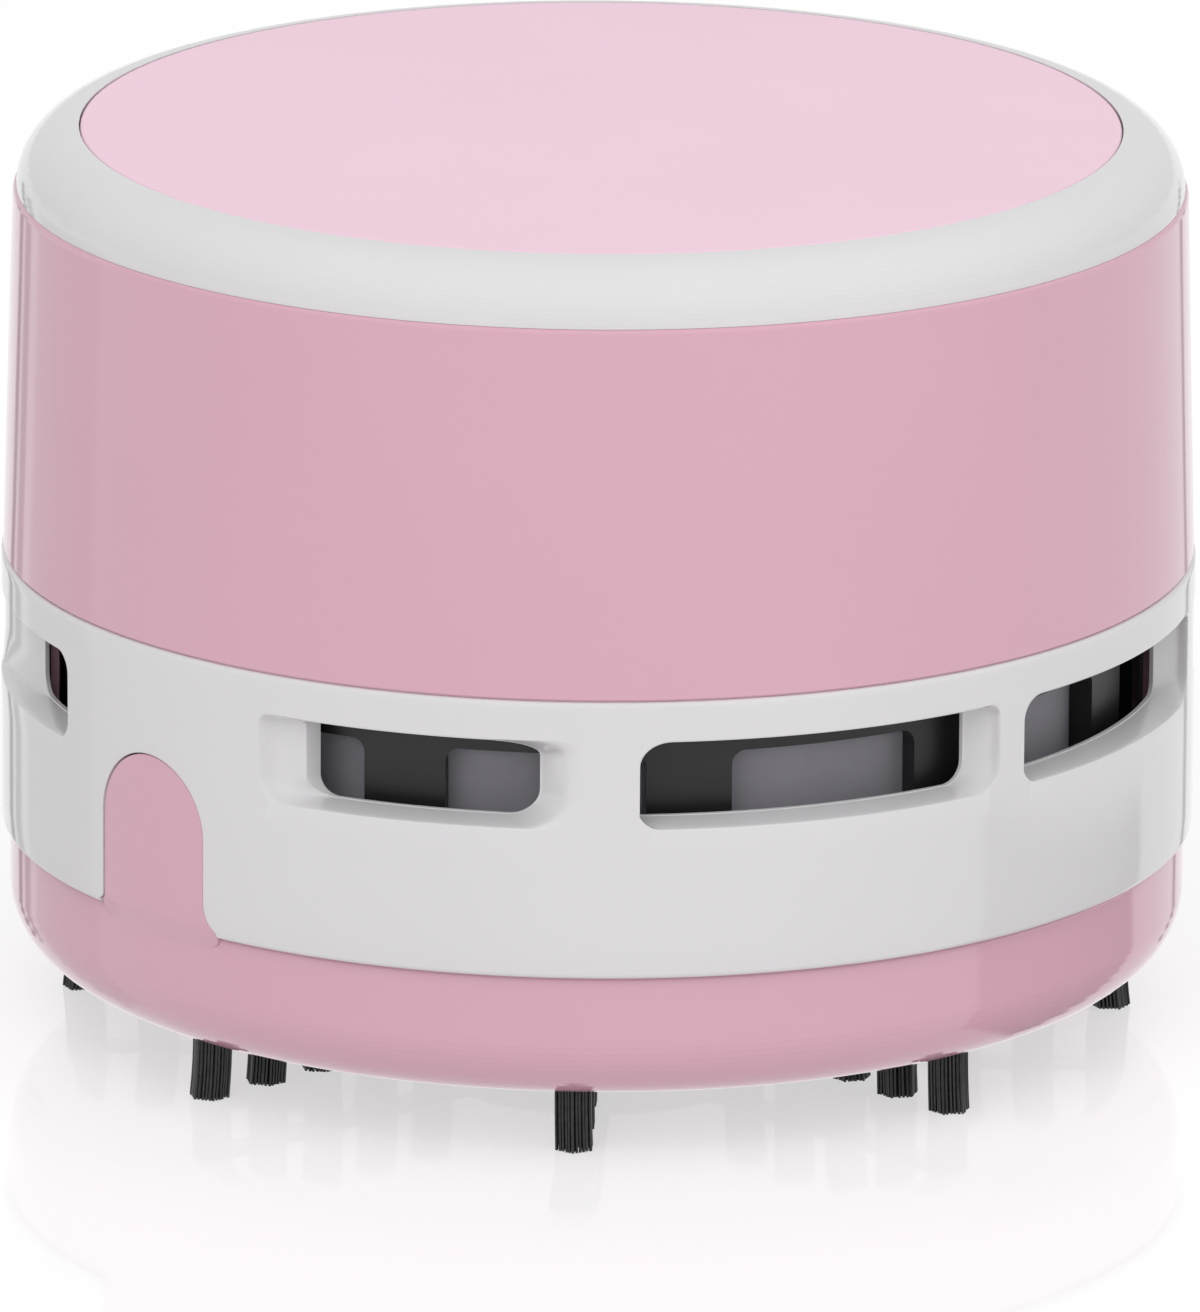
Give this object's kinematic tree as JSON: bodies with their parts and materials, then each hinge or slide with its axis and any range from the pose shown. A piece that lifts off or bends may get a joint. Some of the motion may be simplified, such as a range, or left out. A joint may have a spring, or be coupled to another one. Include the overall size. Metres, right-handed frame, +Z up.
{
  "type": "desktop vacuum cleaner",
  "caption": "Small round battery vacuum for a desk, with a lift-off dust tray, filter cage, push latches, bristle rows, exhaust slots and a top cap over its cells.",
  "frame": {"origin": "on the axis, in the plane of the bristle tips, which is the surface that it stands on", "axes": "+Z up along the axis of the round body; the two push latches lie on the X axis, and the slide switch is on the +Y side"},
  "size_m": [0.0864, 0.0864, 0.0653],
  "materials": {
    "pink_gloss": "glossy moulded plastic",
    "white_gloss": "glossy moulded plastic",
    "pink_satin": "satin disc",
    "clear_plastic": "milky clear plastic",
    "black_plastic": "moulded, fine grain",
    "bristle": "nylon strands",
    "filter_cloth": "fine woven mesh",
    "foam": "closed-cell foam",
    "steel": "plated steel",
    "brass": "plated spring brass",
    "nylon": "natural nylon",
    "capacitor": "dipped ceramic",
    "cell_sleeve": "plain shrink sleeve",
    "impeller_plastic": "moulded plastic",
    "red_sleeve": "wire insulation",
    "black_sleeve": "wire insulation"
  },
  "bodies": {
    "tray": {"dust_tray": "pink_gloss", "intake_nozzle": "clear_plastic", "brush_row_1": "bristle", "brush_row_2": "bristle", "brush_row_3": "bristle", "brush_row_4": "bristle", "brush_row_5": "bristle", "brush_row_6": "bristle", "brush_row_7": "bristle", "brush_row_8": "bristle", "filter_frame": "black_plastic", "filter_mesh": "filter_cloth", "filter_seal": "foam"},
    "latch_left": {"latch_left": "pink_gloss"},
    "latch_right": {"latch_right": "pink_gloss"},
    "housing": {"exhaust_ring": "white_gloss", "drum_shell": "pink_gloss", "motor_deck": "black_plastic", "deck_screws": "steel", "motor_can": "steel", "motor_end_cap": "nylon", "motor_terminals": "brass", "noise_capacitor": "capacitor", "battery_holder": "black_plastic", "cell_left": "cell_sleeve", "cell_right": "cell_sleeve", "battery_contacts": "brass", "switch_body": "black_plastic", "red_leads": "red_sleeve", "black_lead": "black_sleeve"},
    "rotor": {"motor_shaft": "steel", "impeller": "impeller_plastic"},
    "switch": {"switch_knob": "white_gloss"},
    "lid": {"cap_ring": "white_gloss", "top_disc": "pink_satin"}
  },
  "joints": [
    {"name": "housing_lift", "type": "slide", "parent": "tray", "child": "housing", "axis": [0, 0, 1], "range_m": [0, 0.04]},
    {"name": "latch_left_press", "type": "hinge", "parent": "tray", "child": "latch_left", "pos_m": [-0.042, 0, 0.01515], "axis": [0, 1, 0], "range_deg": [0, 3], "stiffness_Nm_per_rad": 0.5},
    {"name": "latch_right_press", "type": "hinge", "parent": "tray", "child": "latch_right", "pos_m": [0.042, 0, 0.01515], "axis": [0, -1, 0], "range_deg": [0, 3], "stiffness_Nm_per_rad": 0.5},
    {"name": "impeller_spin", "type": "hinge", "parent": "housing", "child": "rotor", "pos_m": [0, 0, 0.03], "axis": [0, 0, 1], "continuous": true},
    {"name": "switch_slide", "type": "slide", "parent": "housing", "child": "switch", "axis": [1, 0, 0], "range_m": [0, 0.004]},
    {"name": "lid_lift", "type": "slide", "parent": "housing", "child": "lid", "axis": [0, 0, 1], "range_m": [0, 0.025]}
  ]
}
